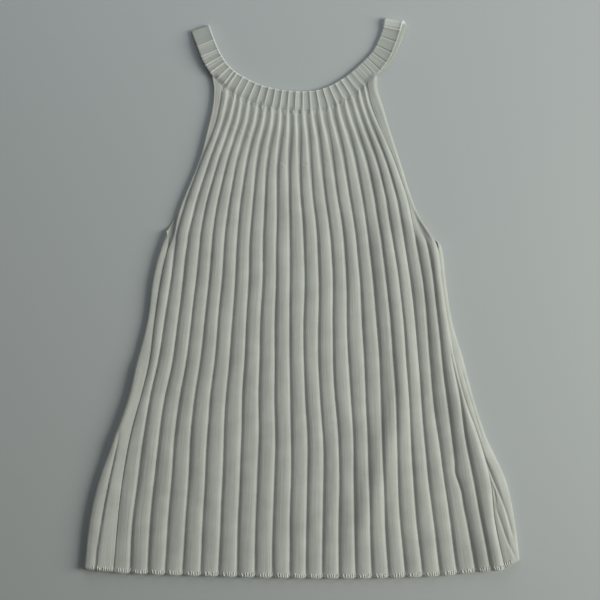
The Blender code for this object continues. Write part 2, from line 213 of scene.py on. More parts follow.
def side_point(index, side, height):
    """A point of the middle of the back's side: place across, rise, and how far the cloth has turned."""
    groove, outline, seam, turned = (section(name, height) for name in SIDE_LINES[side])
    flat = abs(outline - groove)
    low_down = going_down(height, start=-80.0, length=50.0)
    radius = blend(*LEFT_FOLD_RADII, low_down) if side < 0 else RIGHT_FOLD_RADIUS
    reach = radius + BACK_WALL / 2
    start = flat - np.minimum(turned / FULL_FOLD_TURN, 1.0) * reach
    arc = math.pi * radius
    over = abs(outline - seam) - reach - SEAM_GAP
    folded = (start * min(index, FOLD_STARTS) / FOLD_STARTS
              + arc * np.clip((index - FOLD_STARTS) / (FOLD_ENDS - FOLD_STARTS), 0.0, 1.0)
              + over * max(index - FOLD_ENDS, 0.0) / (SEAM_AT - FOLD_ENDS))
    along = blend(np.interp(index, range(len(SIDE_SHARES)), SIDE_SHARES) * flat, folded, turned)
    turn = np.clip((along - start) / radius, 0.0, math.pi)
    beyond = np.maximum(along - start - arc, 0.0)
    place = np.minimum(along, start) + radius * np.sin(turn) - beyond
    across = groove + side * place
    if side < 0:
        sink = blend(*LEFT_SINKS, low_down) * ease((across - outline) / (seam - outline))
    else:
        sink = RIGHT_SINK * (1.0 - np.clip((outline - across) / RIGHT_SINK_WIDTH, 0.0, 1.0)) ** 1.5
    return across, radius * (1.0 - np.cos(turn)) * (1.0 - sink), turn


def groove_dip(across, line, depth, steep, gentle):
    """A groove in the cloth at line: steep on its left, where a rib ends, and gentle on its right."""
    away = across - line
    return -depth * np.exp(np.where(away < 0.0, away / steep, -away / gentle))


def make_piece(name, points, faces, painted_highlight):
    """Make a smooth mesh with an empty map for the knit; painted_highlight is 1 where a painted highlight
    makes the knit lighter.
    """
    mesh = bpy.data.meshes.new(name)
    mesh.from_pydata((points * MM).tolist(), [], faces)
    mesh.uv_layers.new(name="Knit")
    mesh.attributes.new("painted_highlight", "FLOAT", "POINT").data.foreach_set("value", painted_highlight)
    mesh.shade_smooth()
    piece = bpy.data.objects.new(name, mesh)
    bpy.context.scene.collection.objects.link(piece)
    return piece


def cloth(name, outside, inside, wales, courses, ring=False, painted_highlight=0.0):
    """Make one closed wall of cloth between two matching grids of points, with a map that counts the
    knit's wales across and its courses along."""
    rows, columns = outside.shape[:2]
    first = np.arange(rows * columns).reshape(rows, columns)
    second = first + rows * columns
    here = slice(None) if ring else slice(None, -1)
    after = np.roll(first, -1, axis=0)[here]
    after_second = np.roll(second, -1, axis=0)[here]

    def quads(*corners):
        return np.stack(corners, axis=-1).reshape(-1, 4)

    faces = [quads(first[here, :-1], after[:, :-1], after[:, 1:], first[here, 1:]),
             quads(second[here, :-1], second[here, 1:], after_second[:, 1:], after_second[:, :-1]),
             quads(after[:, 0], first[here, 0], second[here, 0], after_second[:, 0]),
             quads(first[here, -1], after[:, -1], after_second[:, -1], second[here, -1])]
    if not ring:
        faces += [quads(first[0, :-1], first[0, 1:], second[0, 1:], second[0, :-1]),
                  quads(first[-1, 1:], first[-1, :-1], second[-1, :-1], second[-1, 1:])]
    faces = np.concatenate(faces)
    points = np.concatenate([outside.reshape(-1, 3), inside.reshape(-1, 3)])
    a, b, c, d = (points[faces[:, corner]] for corner in range(4))
    volume = (np.cross(a, b) * c).sum() + (np.cross(a, c) * d).sum()
    if volume < 0:
        faces = faces[:, ::-1]
    wales, courses, painted_highlight = (np.broadcast_to(values, (rows, columns)).reshape(-1)
                             for values in (wales, courses, painted_highlight))
    piece = make_piece(name, points, faces.tolist(), np.tile(painted_highlight, 2))
    at_point = np.tile(np.stack([wales, courses], axis=-1), (2, 1))
    knit_map = at_point[faces.reshape(-1)].astype(np.float32)
    piece.data.uv_layers["Knit"].data.foreach_set("uv", knit_map.reshape(-1))
    return piece


def linear(hex_colour):
    """Turn an sRGB hex colour into the linear one that a shader takes."""
    parts = [int(hex_colour[at:at + 2], 16) / 255 for at in (1, 3, 5)]
    return [p / 12.92 if p <= 0.04045 else ((p + 0.055) / 1.055) ** 2.4 for p in parts] + [1.0]


def add(tree, kind, settings, inputs):
    """Add a node, set its options, and give each of its inputs a value or a link from a node or a socket."""
    node = tree.nodes.new("ShaderNode" + kind)
    for option, choice in settings.items():
        setattr(node, option, choice)
    for socket, value in inputs.items():
        if isinstance(value, bpy.types.Node):
            value = value.outputs[0]
        if isinstance(value, bpy.types.NodeSocket):
            tree.links.new(value, node.inputs[socket])
        else:
            node.inputs[socket].default_value = value
    return node


STITCH_DEPTH = 0.25
STITCH_SLANT = 1.1        # courses that a stitch's leg climbs for each wale that it goes across
STREAKS_PER_WALE = 0.8
STREAK_STRETCH = 0.03     # a streak is some 30 times as long as it is wide
CLOUD_SIZE = 20.0         # of the soft patches where the yarn's tone drifts
FUZZ_PER_MM = 0.9         # real fuzz is ten times finer, too fine to show at this size
# Near-white tint of the painted highlight, mixed into the knit where the painted_highlight attribute is set.
PAINTED_HIGHLIGHT_TINT = "#F6F7F3"


def cotton_knit(name, light, shade):
    """Soft-spun cotton yarn in plain stitches: matt, with a faint bloom at grazing angles, fine upright
    streaks from uneven wales, and a trace of each stitch. Where the painted_highlight attribute is set, a
    painted highlight mixes a near-white tint into the colour."""
    times = {"operation": "MULTIPLY"}
    times_plus = {"operation": "MULTIPLY_ADD"}
    sine = {"operation": "SINE"}
    material = bpy.data.materials.new(name)
    material.use_nodes = True
    tree = material.node_tree
    shader = tree.nodes["Principled BSDF"]
    place = add(tree, "UVMap", {"uv_map": "Knit"}, {})
    split = add(tree, "SeparateXYZ", {}, {0: place})
    wale = add(tree, "Math", {"operation": "PINGPONG"}, {0: split, 1: 0.5})
    leg = add(tree, "Math", times, {0: wale, 1: math.pi})
    leg = add(tree, "Math", sine, {0: leg})
    slant = add(tree, "Math", times_plus, {0: wale, 1: STITCH_SLANT, 2: split.outputs[1]})
    slant = add(tree, "Math", times, {0: slant, 1: 2.0 * math.pi})
    slant = add(tree, "Math", sine, {0: slant})
    slant = add(tree, "Math", times_plus, {0: slant, 1: 0.1, 2: 0.3})
    stitch = add(tree, "Math", times, {0: leg, 1: slant})
    along = add(tree, "VectorMath", times, {0: place, 1: (1.0, STREAK_STRETCH, 1.0)})
    streak = add(tree, "TexNoise", {}, {"Vector": along, "Scale": STREAKS_PER_WALE, "Detail": 2.0})
    on_piece = add(tree, "TexCoord", {}, {}).outputs["Object"]
    cloud = add(tree, "TexNoise", {}, {"Vector": on_piece, "Scale": 1.0 / (CLOUD_SIZE * MM), "Detail": 3.0})
    fuzz = add(tree, "TexNoise", {}, {"Vector": on_piece, "Scale": FUZZ_PER_MM / MM, "Detail": 2.0})
    tone = add(tree, "Math", times, {0: cloud, 1: 0.6})
    tone = add(tree, "Math", times_plus, {0: streak, 1: 0.4, 2: tone})
    tint = add(tree, "ValToRGB", {}, {0: tone})
    for stop, position, colour in zip(tint.color_ramp.elements, (0.3, 0.7), (shade, light)):
        stop.position = position
        stop.color = linear(colour)
    # Painted highlight: the attribute mixes the near-white tint into the knit's colour on crests, rims, fold
    # bands and the hem.
    painted_highlight = add(tree, "Attribute", {"attribute_name": "painted_highlight"}, {})
    tinted = add(tree, "Mix", {"data_type": "RGBA"}, {0: painted_highlight.outputs["Fac"], 6: tint})
    tinted.inputs[7].default_value = linear(PAINTED_HIGHLIGHT_TINT)
    relief = add(tree, "Math", times_plus, {0: streak, 1: 2.0, 2: stitch})
    relief = add(tree, "Math", times_plus, {0: fuzz, 1: 1.3, 2: relief})
    depth = STITCH_DEPTH * MM
    bumps = add(tree, "Bump", {}, {"Height": relief, "Strength": 0.55, "Distance": depth})
    tree.links.new(tinted.outputs[2], shader.inputs["Base Color"])
    tree.links.new(bumps.outputs[0], shader.inputs["Normal"])
    for socket, value in {"Roughness": 0.88, "Sheen Weight": 0.12, "Sheen Roughness": 0.5,
                          "Specular IOR Level": 0.25}.items():
        shader.inputs[socket].default_value = value
    return material


WALES_PER_RIB = 9         # about 2 mm each in the middle of the body
COURSE = 1.6              # along the knit for each row of stitches
body_knit = cotton_knit("ivory_cotton_wide_rib", "#D5D8D3", "#C1C3BE")

BACK_ROWS = 180
BACK_RIB_DEPTH = 0.9      # of the grooves on the underside
BACK_RIB_STEPS = (0.0, 0.06, 0.16, 0.34, 0.6, 0.82, 0.94)
SIDE_STEPS = np.concatenate([np.linspace(0.0, FOLD_STARTS, 7), np.linspace(FOLD_STARTS, FOLD_ENDS, 13)[1:],
                             np.linspace(FOLD_ENDS, SEAM_AT, 27)[1:]])
SIDE_FLANK_REACH = 1.2    # of the flanks of the ribs on the side strips
SIDE_FLANK_LEVEL, SIDE_ARCH_LEVEL = 0.45, 0.3  # shares of a rib that lie below the strip's level


def side_rib(along, width, flank, arch, lean, fall):
    """Height of a rib on a side strip over the strip's own wall, at a distance from its left groove. It
    leans, highest on its left, and its right flank falls by a share of the left one's height."""
    risen = 1.0 - np.exp(-along / SIDE_FLANK_REACH)
    kept = 1.0 - fall * np.exp(-np.maximum(width - along, 0.0) / SIDE_FLANK_REACH)
    share = np.clip(along / width, 0.0, 1.0)
    arched = 4.0 * share * (1.0 - share)
    relief = flank * (risen * kept - SIDE_FLANK_LEVEL) + arch * (arched - SIDE_ARCH_LEVEL)
    return relief + lean * (1.0 - share)


# Groove between the two ribs of the strip over the left side edge: depth below the middle, place across.
LEFT_GROOVE = np.array((
    (100.0, -190.0), (123.0, -195.0), (138.0, -199.4), (156.0, -202.8), (178.0, -206.6),
    (200.0, -211.5), (222.0, -216.0), (244.0, -219.8), (277.0, -225.0), (300.0, -227.0)))


def left_side_relief(across, height):
    """Ribs on the strip that comes over the left side edge: one beside the seam all the way down, and a
    second outside it, which opens out from under the edge below the waist."""
    outline = section("back_left", height)
    seam = section("front_left", height)
    leaning = going_down(height, start=-56.0, length=32.0)
    lean = blend(0.3, 2.2, leaning)
    level = blend(0.7, 1.2, leaning)
    between = np.interp(-height, *LEFT_GROOVE.T)
    outer_start, single_start = outline + 0.5, outline - 1.5
    outer_width = np.maximum(between - outer_start, 1.0)
    outer_level = 3.3 - 1.7 * past(outer_width, start=1.0, length=9.0)  # it stands higher while it is narrow
    outer = side_rib(np.maximum(across - outer_start, 0.0), outer_width,
                     flank=1.4, arch=0.8, lean=0.6, fall=0.55) + outer_level
    inner = side_rib(np.maximum(across - between, 0.0), seam - between,
                     flank=1.2, arch=0.7, lean=lean, fall=0.3) + level
    single = side_rib(np.maximum(across - single_start, 0.0), seam - single_start,
                      flank=0.8, arch=0.7, lean=lean, fall=0.3) + level
    both = np.where(across < between, outer, inner)
    return blend(single, both, going_down(height, start=-122.0, length=50.0))


# Grooves on the strip over the right side edge: the four places that each runs through (across, up), its
# depth, and how far its left and right flanks reach.
RIGHT_GROOVES = (
    (((199.0, -172.0), (210.0, -201.5), (221.7, -230.0), (233.0, -268.0)), 1.9, 0.8, 1.8),
    (((211.0, -226.0), (220.1, -253.0), (226.0, -269.5), (236.0, -290.0)), 1.5, 0.7, 1.6),
    (((173.3, -74.0), (184.8, -112.0), (193.0, -139.7), (199.7, -161.7)), 0.7, 0.7, 1.2),
    (((205.5, -204.0), (210.4, -211.0), (211.8, -217.5), (212.6, -226.0)), 1.5, 0.6, 0.9),
)
WAIST = (-60.0, 60.0)     # height at which the changes at the waist start, and the length that they take


def right_side_relief(across, height):
    """Grooves and the crumple of loose knit on the strip that comes over the right side edge."""
    seam_depth = blend(0.25, 0.9, going_down(height, *WAIST))
    relief = groove_dip(across, section("front_right", height), seam_depth, steep=0.8, gentle=1.3)
    for places, depth, steep, gentle in RIGHT_GROOVES:
        length = places[0][1] - places[-1][1]
        line, fade = follow(places, height, 0.2 * length, 0.15 * length)
        relief = relief + groove_dip(across, line, depth, steep, gentle) * fade
    return relief


STRIP_TURN = 1.4          # a strip's ribs start once the cloth has turned by this, and are whole at twice that
CORNER_FILL = 0.9         # how much fuller than round the left fold's upper corner is
OUTER_GROOVE_REACH = 0.25 # of the back's outermost grooves into its sides, in points of their row


def make_back_panel():
    """The back: underside flat where it rests, its sides turned up over the side edges to the seams."""
    half = BACK_WALL / 2
    rows = np.linspace(0.0, 1.0, BACK_ROWS)
    side_shares = np.interp(SIDE_STEPS, range(len(SIDE_SHARES)), SIDE_SHARES)
    columns = [(-1, index, blend(FIRST_RIB_TOP, LEFT_SHOULDER, share))
               for index, share in zip(SIDE_STEPS[:0:-1], side_shares[:0:-1])]
    for rib in range(FULL_RIBS):
        columns += [(0, rib + 1 + step, blend(FIRST_RIB_TOP, LAST_RIB_TOP, (rib + step) / FULL_RIBS))
                    for step in BACK_RIB_STEPS]
    columns += [(1, index, blend(LAST_RIB_TOP, RIGHT_SHOULDER, share))
                for index, share in zip(SIDE_STEPS, side_shares)]
    outside, inside, wales = [], [], []
    for side, index, share in columns:
        top_x, top_y = band_point(share, band_width(share) + SEAM_GAP + back_shift(share))

        def at_height(height, side=side, index=index):
            if side == 0:
                return body_line(index, height), 0.0 * height, 0.0 * height
            return side_point(index, side, height)

        hem_x = at_height(np.array(HEM_HEIGHT))[0]
        height = blend(top_y, hem_height(hem_x), rows)
        across, rise, turn = at_height(height)
        offset = top_x - at_height(np.array(top_y))[0]
        x = across + offset * (1.0 - going_down(height, top_y, SETTLE_LENGTH))
        if side == 0:
            relief = -BACK_RIB_DEPTH * (1.0 - rib_shape(index % 1.0, crest=0.5, left=3.5, right=3.5))
            wales.append((index - 1) * WALES_PER_RIB)
        else:
            up = past(turn, STRIP_TURN, STRIP_TURN)
            edge = left_side_relief(x, height) if side < 0 else right_side_relief(x, height)
            corner = CORNER_FILL * np.sin(2.0 * turn) ** 2 * (turn > math.pi / 2) * (side < 0)
            below = BACK_RIB_DEPTH * np.exp(-index / OUTER_GROOVE_REACH) * (1.0 - up)
            relief = up * edge + corner - below
            beside = index * WALES_PER_RIB / 2
            wales.append(-beside if side < 0 else FULL_RIBS * WALES_PER_RIB + beside)
        out_x = side * np.sin(turn)
        out_z = -np.cos(turn)
        reach = half + relief
        outside.append(np.stack([x + out_x * reach, height, half + rise + out_z * reach], axis=-1))
        inside.append(np.stack([x - out_x * half, height, half + rise - out_z * half], axis=-1))
    outside = np.stack(outside, axis=1)
    inside = np.stack(inside, axis=1)
    return cloth("back_knit", outside, inside, np.array(wales), outside[:, :, 1] / COURSE), outside


back_knit, back_surface = make_back_panel()
back_knit.data.materials.append(body_knit)
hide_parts("back_panel")
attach(back_knit, "root")

# ------------------------------
# Front panel: the second piece of the same knit. Its nineteen full-length ribs fan out from the neckband,
# narrow, round and apart at the top, and wide and close together lower down. Its armhole edges finish
# themselves in a smooth strip with a rolled rim, and its sides are linked to the back.
FRONT_LOWEST = 2.3        # underside of the grooves, just clear of the back
GROOVE_WALL = 1.0         # the knit is stretched thin in a groove
CREST_WALL = 1.6
SIDE_RIBS = 3             # between the last full-length rib and the right seam
LAST_LINE = FULL_RIBS + 1 + SIDE_RIBS
RIB_STEPS = np.array((0.0, 0.025, 0.06, 0.105, 0.165, 0.25, 0.37, 0.51, 0.64, 0.75, 0.84, 0.91, 0.96))
# Rows of points, by their distance below the neckband: close together there and at the hem.
FRONT_ROWS = np.concatenate([np.arange(0.0, 66.0, 1.4), np.linspace(67.0, 533.0, 98),
                             np.arange(534.5, 541.0, 1.5)])
RIDGE_OFFSET = 1.5        # a rib's groove starts this far left of the neckband's ridge
FIRST_RIB_SHIFT = 0.006   # and the first one's further by this share of the neckline
NECK_LIFT = 0.1           # how much higher the panel lies beside the neckband, and how soon that is gone
NECK_LIFT_LENGTH = 25.0
LEFT_RISE = 0.3           # how much higher each side lies, up on its side fold, and how soon that is gone
LEFT_RISE_WIDTH = 27.0
RIGHT_RISE = 5.2
RIGHT_RISE_WIDTH = 43.0
REST_LIFT = 0.6           # of the panel over its lowest level where no soft fold changes it
NECK_JOIN_GAP = 0.05
HEM_SCALLOP = 0.9         # how much lower a rib's middle hangs than its grooves
neck_length = neck_steps.sum()

# Cross-section of a rib at some distances below the neckband: its foot as a share of the way to the next
# groove, how far its steep left and right flanks reach, their height, that of the arch between them, and how
# much of the flanks' height the groove itself has, where it climbs out of a wide hollow.
RIB_COLUMNS = ("below", "foot", "left", "right", "flank", "arch", "climb")
RIB_SECTIONS = np.array((
    (0.0, 0.60, 1.3, 0.6, 1.9, 0.0, 0.45),
    (8.0, 0.62, 1.5, 0.6, 2.5, 0.0, 0.4),
    (40.0, 0.74, 1.2, 0.8, 1.95, 0.3, 0.35),
    (95.0, 0.90, 0.65, 1.1, 1.8, 0.75, 0.1),
    (170.0, 0.94, 0.95, 1.3, 1.85, 0.95, 0.0),
    (250.0, 0.95, 1.05, 1.2, 1.85, 0.9, 0.0),
    (340.0, 0.95, 1.3, 1.2, 1.85, 0.85, 0.0),
    (430.0, 0.95, 1.5, 1.2, 1.85, 0.95, 0.0),
    (540.0, 0.95, 1.5, 1.2, 1.85, 1.05, 0.0),
))

# Soft folds of the laid cloth: four places that each runs through (across, up), its half-width and its
# rise, which is negative for a trough.
SOFT_FOLDS = (
    (((92.0, 110.0), (100.0, 5.0), (112.0, -95.0), (52.0, -292.0)), 17.0, 3.4),
    (((-30.0, 110.0), (-24.0, 40.0), (-22.0, -20.0), (-40.0, -100.0)), 12.0, 0.5),
    (((32.0, -130.0), (27.0, -180.0), (24.0, -215.0), (14.0, -280.0)), 9.0, -0.8),
    (((-92.0, 20.0), (-98.0, -60.0), (-110.0, -140.0), (-118.0, -240.0)), 13.0, 0.5),
    (((-80.0, 222.0), (-88.0, 190.0), (-92.0, 150.0), (-98.0, 90.0)), 20.0, 1.6),
    (((78.0, 235.0), (86.0, 190.0), (95.0, 140.0), (108.0, 50.0)), 20.0, 2.7),
)
FOLD_FADE = 60.0          # length over which each of them starts and ends

# Rows of stitches in which the knit loses a wale on each rib: distance below the neckband.
DECREASE_ROWS = (6.5, 31.0, 58.0)

chance = np.random.default_rng(41)
groove_phases = chance.uniform(0.0, 2.0 * math.pi, (LAST_LINE + 1, 2))
rib_phases = chance.uniform(0.0, 2.0 * math.pi, (LAST_LINE, 3))
decrease_shifts = chance.uniform(-1.0, 1.0, (LAST_LINE, len(DECREASE_ROWS), 2))

# A groove that is pushed aside in a sharp bend: its line, then shift across, height and reach of each push.
BENT_GROOVE = 21
BENDS = ((-1.4, -192.0, 8.0), (1.2, -214.0, 9.0))
DRIFT_WAVES = ((0.3, 34.0), (0.13, 13.0))


def waves(height, kinds, phases):
    """Slow waves down the cloth: size of each kind, and the length over which it turns by a radian."""
    return sum(size * np.sin(height / length + phase) for (size, length), phase in zip(kinds, phases))


def groove_place(line, height):
    """Place across of a rib boundary, with a slow sideways drift that neighbours share in part."""
    slow, quick = groove_phases[line]
    place = body_line(line, height)
    if 0 < line < LAST_LINE:
        drift = waves(height, DRIFT_WAVES, (0.35 * line + 0.5 * slow, quick))
        place = place + drift * going_down(height, start=200.0, length=80.0)
    if line == BENT_GROOVE:
        place = place + sum(bump(height, *push) for push in BENDS)
    return place


def fold_rise(across, height):
    """Height that the soft folds add at a place."""
    total = 0.0 * across
    for places, half_width, rise in SOFT_FOLDS:
        line, fade = follow(places, height, FOLD_FADE, FOLD_FADE)
        total = total + fade * bump(across, rise, line, half_width)
    return total


def rib_part(name, below):
    return curve(RIB_SECTIONS[:, 0], RIB_SECTIONS[:, RIB_COLUMNS.index(name)], below)


FULL_RIB_WIDTH = 9.0      # a narrower rib is lower in step
CLIMB_REACHES = (0.9, 1.8)  # at a rib's left groove and at its right one


def rib_relief(along, width, below, arched=1.0, opening=1.0):
    """Height of a rib at a distance from its groove along its width; its groove is open by a share."""
    foot = rib_part("foot", below) * width
    flanks = 1.0 - opening * np.exp(-along / rib_part("left", below))
    flanks = flanks * (1.0 - np.exp(-np.maximum(foot - along, 0.0) / rib_part("right", below)))
    share = np.clip(along / foot, 0.0, 1.0)
    arch = arched * rib_part("arch", below) * 4.0 * share * (1.0 - share)
    climb = np.exp(-along / CLIMB_REACHES[0]) + np.exp(-np.maximum(width - along, 0.0) / CLIMB_REACHES[1])
    height = rib_part("flank", below) * (flanks + rib_part("climb", below) * climb) + arch
    return height * np.minimum(width / FULL_RIB_WIDTH, 1.0)


# The ribs beside the left seam are rounder than the others by these factors. The first one changes at the
# waist: it gets flatter, its groove closes, and its left side tilts up.
SIDE_ARCH = {1: 1.35, 2: 1.15}
SWELL_WAVES = ((0.06, 37.0), (0.04, 17.0))
LEAN_WAVE = ((0.5, 23.0),)


def one_rib(line, u, width, height, below):
    """Height of a rib of the body, with its own slow swelling and leaning."""
    arched, opening, tilt = SIDE_ARCH.get(line, 1.0), 1.0, 0.0
    if line == 0:
        changed = going_down(height, *WAIST)
        arched = blend(1.7, 0.7, changed)
        opening = blend(0.55, 0.12, changed)
        tilt = 0.2 * (1.0 - u) * changed
    relief = rib_relief(u * width, width, below, arched, opening) + tilt
    swell = 1.0 + waves(height, SWELL_WAVES, rib_phases[line])
    lean = waves(height, LEAN_WAVE, rib_phases[line, 2:]) * (0.5 - u)
    return relief * swell + lean * past(below, start=0.0, length=60.0)


def joint_stitches(line, across, below):
    """Loose stitches, and the dip that they lie in, where a rib is joined to the neckband."""
    specks = np.sin(3.3 * across + line) * np.sin(1.9 * across + 2.0 * line)
    return (0.9 * specks - 0.5) * bump(below, size=1.0, place=1.8, reach=1.9)


def decrease_marks(line, along, width, below):
    """Dents with a lip below each where the rib loses a wale, moved up and aside by chance."""
    total = 0.0
    for row, (up, aside) in zip(DECREASE_ROWS, decrease_shifts[line]):
        beside = along - 0.4 * width - 0.9 * aside
        from_row = below - row - 1.2 * up
        dent = np.exp(-from_row ** 2) + bump(from_row, size=-0.8, place=2.4, reach=1.0)
        total = total - 0.7 * max(0.0, up) * np.exp(-(beside / 2.2) ** 4) * dent
    return total


STRIP_HEIGHT = 1.0        # of the plain strip beside an armhole over the grooves
RIGHT_STRIP_ENDS = ((74.0, 14.0), (70.0, 16.0))  # over the first side rib, and over the others


def left_strip(u, width):
    """The plain strip beside the left armhole, with its rolled rim."""
    rim = bump(u * width, size=0.35, place=1.3, reach=0.8)
    return STRIP_HEIGHT * (1.0 - np.exp(-(1.0 - u) * width / 0.9)) + rim


def right_strip(across, height):
    """The plain strip beside the right armhole: a line of tight stitches along its groove, a tilt to the
    edge high up, and near the armhole's foot a valley and a rim."""
    left, edge = (groove_place(line, height) for line in (FULL_RIBS + 1, LAST_LINE))
    share = (across - left) / (edge - left)
    deep = going_down(height, start=108.0, length=26.0)
    strip = STRIP_HEIGHT * (1.0 + bump(across - left, size=-0.25, place=0.8, reach=0.9))
    strip = strip + bump(share, size=-1.5, place=0.5, reach=0.3) * deep
    strip = strip + 1.1 * share * past(height, start=185.0, length=20.0) + 0.5 * (1.0 - deep)
    return strip + bump(edge - across, size=0.5, place=2.2, reach=1.5) * deep


def right_side(line, relief, across, height, below):
    """The right strip turns into two ribs below the armhole, and the second of them parts into two."""
    others = line > FULL_RIBS + 1
    if others:
        left, edge = (groove_place(at, height) for at in (FULL_RIBS + 2, LAST_LINE))
        both = rib_relief(across - left, edge - left, below)
        relief = blend(both, relief, going_down(height, start=-40.0, length=70.0))
    return blend(right_strip(across, height), relief, going_down(height, *RIGHT_STRIP_ENDS[others]))


def rounded_edge(from_edge, reach, thinnest):
    """Share of the wall's thickness near an edge, from its thinnest at the edge to 1 at that reach."""
    return blend(thinnest, 1.0, np.sqrt(1.0 - (1.0 - np.clip(from_edge / reach, 0.0, 1.0)) ** 2))


FULL_RELIEF = 2.0         # height over the grooves at which the wall is as thick as at a crest


def make_front_panel():
    rows = (FRONT_ROWS / FRONT_ROWS[-1])[:, None]
    body_shares = np.concatenate([[LEFT_SHOULDER], np.linspace(FIRST_RIB_TOP, LAST_RIB_TOP, FULL_RIBS + 1),
                                  np.linspace(LAST_RIB_TOP, RIGHT_SHOULDER, SIDE_RIBS + 1)[1:]])
    body_shares[1:FULL_RIBS + 2] -= RIDGE_OFFSET / neck_length
    body_shares[1] -= FIRST_RIB_SHIFT
    upper, lower, wales, painted_highlight, top_shares = [], [], [], [], []
    for line in range(LAST_LINE):
        u = RIB_STEPS if line < LAST_LINE - 1 else np.append(RIB_STEPS, 1.0)
        share = blend(body_shares[line], body_shares[line + 1], u)
        top_x, top_y = band_point(share, band_width(share) + NECK_JOIN_GAP)

        def across_at(height, line=line, u=u):
            return blend(groove_place(line, height), groove_place(line + 1, height), u)

        hem = hem_height(across_at(np.array(HEM_HEIGHT))) - HEM_SCALLOP * 4.0 * (u - u * u)
        height = top_y + (hem - top_y) * rows
        below = top_y - height
        settling = 1.0 - ease(below / SETTLE_LENGTH)
        across = across_at(height)
        x = across + (top_x - across_at(top_y)) * settling
        low_width = groove_place(line + 1, height) - groove_place(line, height)
        top_width = (body_shares[line + 1] - body_shares[line]) * neck_length
        width = blend(low_width, top_width, settling)
        along = u * width
        from_left = x - groove_place(0, height) if line > 0 else along
        from_right = groove_place(LAST_LINE, height) - across
        relief = one_rib(line, u, width, height, below) + joint_stitches(line, x, below)
        if line == 0:
            relief = blend(left_strip(u, width), relief, going_down(height, start=66.0, length=30.0))
        elif line <= FULL_RIBS:
            relief = relief + decrease_marks(line, along, width, below)
        else:
            relief = right_side(line, relief, across, height, below)
        if line == FULL_RIBS:     # fuller on its right where it lies beside the strip
            fill = 0.3 * past(height, start=90.0, length=26.0)
            fill = fill + bump(height, size=0.6, place=180.0, reach=17.0)
            relief = relief + fill * ease(u * 1.4 - 0.4)
        folded = going_down(height, start=115.0, length=47.0)
        # The right armhole's edge rolls under.
        relief = relief - 1.7 * (1.0 - np.clip(from_right / 2.7, 0.0, 1.0)) ** 1.3 * (1.0 - folded)
        rise = LEFT_RISE * (1.0 - ease(from_left / LEFT_RISE_WIDTH)) * folded
        rise = rise + RIGHT_RISE * (1.0 - ease(from_right / RIGHT_RISE_WIDTH)) * folded
        rise = rise + NECK_LIFT * (1.0 - ease(below / NECK_LIFT_LENGTH))
        rise = rise + np.maximum(fold_rise(x, height) + REST_LIFT, 0.0)
        wall = blend(GROOVE_WALL, CREST_WALL, np.clip(relief / FULL_RELIEF, 0.0, 1.0))
        half = wall / 2 * rounded_edge(np.minimum(from_left, from_right), reach=1.0, thinnest=0.35)
        middle_z = FRONT_LOWEST + GROOVE_WALL + rise + relief - wall / 2
        # Painted highlight: the knit is tinted lighter on the ribs' crests near the neckband, and along the
        # hem.
        from_foot = along - rib_part("foot", below) * width
        crest = bump(from_foot, size=0.35, place=-0.9, reach=1.0) * np.exp(-(below / 45.0) ** 2)
        painted_highlight.append(np.maximum(crest * (line > 0), bump(height - hem, size=0.35, place=0.0, reach=5.0)))
        upper.append(np.stack([x, height, middle_z + half], axis=-1))
        lower.append(np.stack([x, height, middle_z - half], axis=-1))
        wales.append((line + u) * WALES_PER_RIB)
        top_shares.append(share)
    upper = np.concatenate(upper, axis=1)
    lower = np.concatenate(lower, axis=1)
    piece = cloth("front_knit", upper, lower, np.concatenate(wales), upper[:, :, 1] / COURSE,
                  painted_highlight=np.concatenate(painted_highlight, axis=1))
    return piece, upper, np.concatenate(top_shares)


front_knit, front_surface, front_top_shares = make_front_panel()
front_knit.data.materials.append(body_knit)
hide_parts("front_panel")
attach(front_knit, "root")

# ------------------------------
# Cast-off stitches of the front's hem: the yarn's last row of loops, drawn tight, which stands up in short
# # splayed legs at the foot of each rib, most of them on its right. A painted highlight tints them lighter.
HEM_LEGS = (0.30, 0.45, 0.58, 0.70, 0.81, 0.91)  # places of a rib's legs, from groove to groove
STRIP_LEGS = (2, 4, 6, 8, 10, 14, 16, 18, 20, -4, -8, -12, -16)  # places on the back's sides, in columns
UPRIGHT_LEG, LEG_LEAN = 0.62, 3.4  # place of an upright leg, and how fast the others lean from there
LEG_LENGTH = 5.0
LEG_RADIUS = 0.62
LEG_START = 0.5           # above the panel's edge
LEG_SIDES = 6
LEG_PARTS = np.array((0.0, 0.12, 0.35, 0.6, 0.85, 1.0))
LEG_SHAPE = np.array((0.3, 0.8, 1.0, 1.0, 0.75, 0.2))
LEG_RISES = np.array((-0.1, 0.075, 0.25, 0.25, 0.18, 0.04))  # of its middle over the knit
# Painted highlight of the legs: share of the near-white tint mixed into their colour.
LEG_PAINTED_HIGHLIGHT = 0.8


def on_panel(surface, column, height):
    """Point of a panel's upper face at a height along a column of its mesh."""
    left = int(column)
    ends = []
    for at in (left, left + 1):
        heights = surface[::-1, at, 1]
        ends.append(np.stack([np.interp(height, heights, surface[::-1, at, axis]) for axis in (0, 2)]))
    x, z = blend(ends[0], ends[1], column - left)
    return np.stack([x, height, z], axis=-1)


